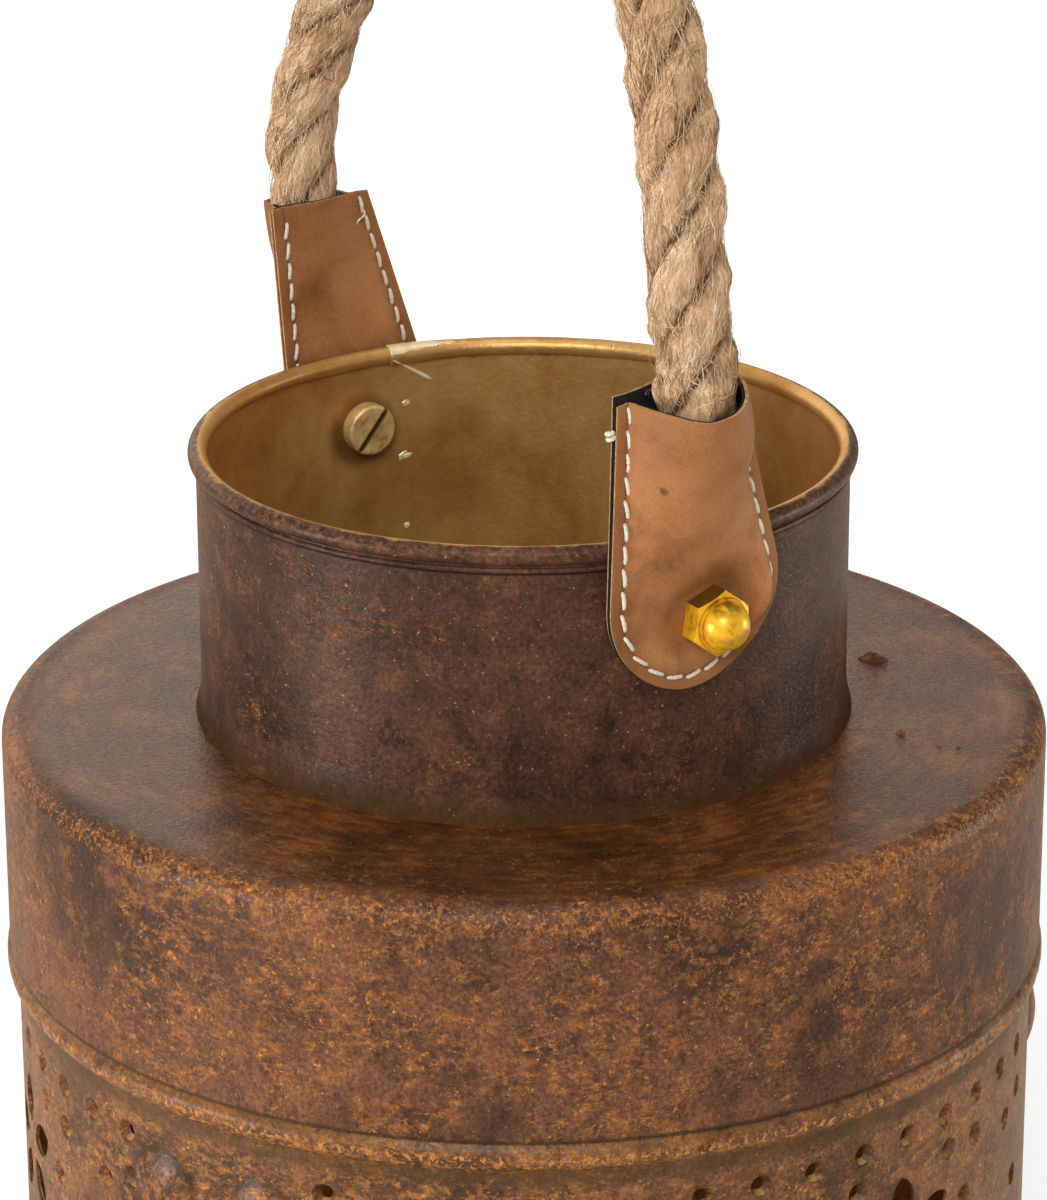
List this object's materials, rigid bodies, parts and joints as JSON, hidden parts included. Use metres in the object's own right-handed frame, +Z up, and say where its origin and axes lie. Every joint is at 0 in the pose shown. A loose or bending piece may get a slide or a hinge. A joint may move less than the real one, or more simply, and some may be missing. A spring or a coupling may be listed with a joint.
{
  "type": "punched tin lantern",
  "caption": "Round punched tin candle lantern with a domed-edge shoulder cap, open rolled-rim neck and a swinging rope handle held in stitched leather tabs.",
  "frame": {"origin": "middle of the foot, on the surface that the lantern stands on", "axes": "+Z up; the two handle screws lie along X, and the handle leans toward -Y"},
  "size_m": [0.2415, 0.2414, 0.4869],
  "materials": {
    "rusted_tin": "antiqued rust brown, satin",
    "worn_brass": "worn, satin",
    "tan_leather": "smooth, satin",
    "black_lining": "matte",
    "white_thread": "matte",
    "jute_rope": "coarse twisted fibre"
  },
  "bodies": {
    "lantern": {"body_shell": "rusted_tin", "base_pan": "rusted_tin", "shoulder_cap": "rusted_tin", "neck_collar": "rusted_tin", "screw_right": "worn_brass", "screw_left": "worn_brass", "dome_nut_right": "worn_brass", "dome_nut_left": "worn_brass"},
    "handle": {"handle_rope": "jute_rope", "tab_front_skin_right": "tan_leather", "tab_front_lining_right": "black_lining", "tab_back_lining_right": "black_lining", "tab_back_skin_right": "tan_leather", "tab_stitching_right": "white_thread", "tab_front_skin_left": "tan_leather", "tab_front_lining_left": "black_lining", "tab_back_lining_left": "black_lining", "tab_back_skin_left": "tan_leather", "tab_stitching_left": "white_thread"}
  },
  "joints": [
    {"name": "handle_swing", "type": "hinge", "parent": "lantern", "child": "handle", "pos_m": [0, 0, 0.315], "axis": [1, 0, 0], "range_deg": [-110, 100]}
  ]
}
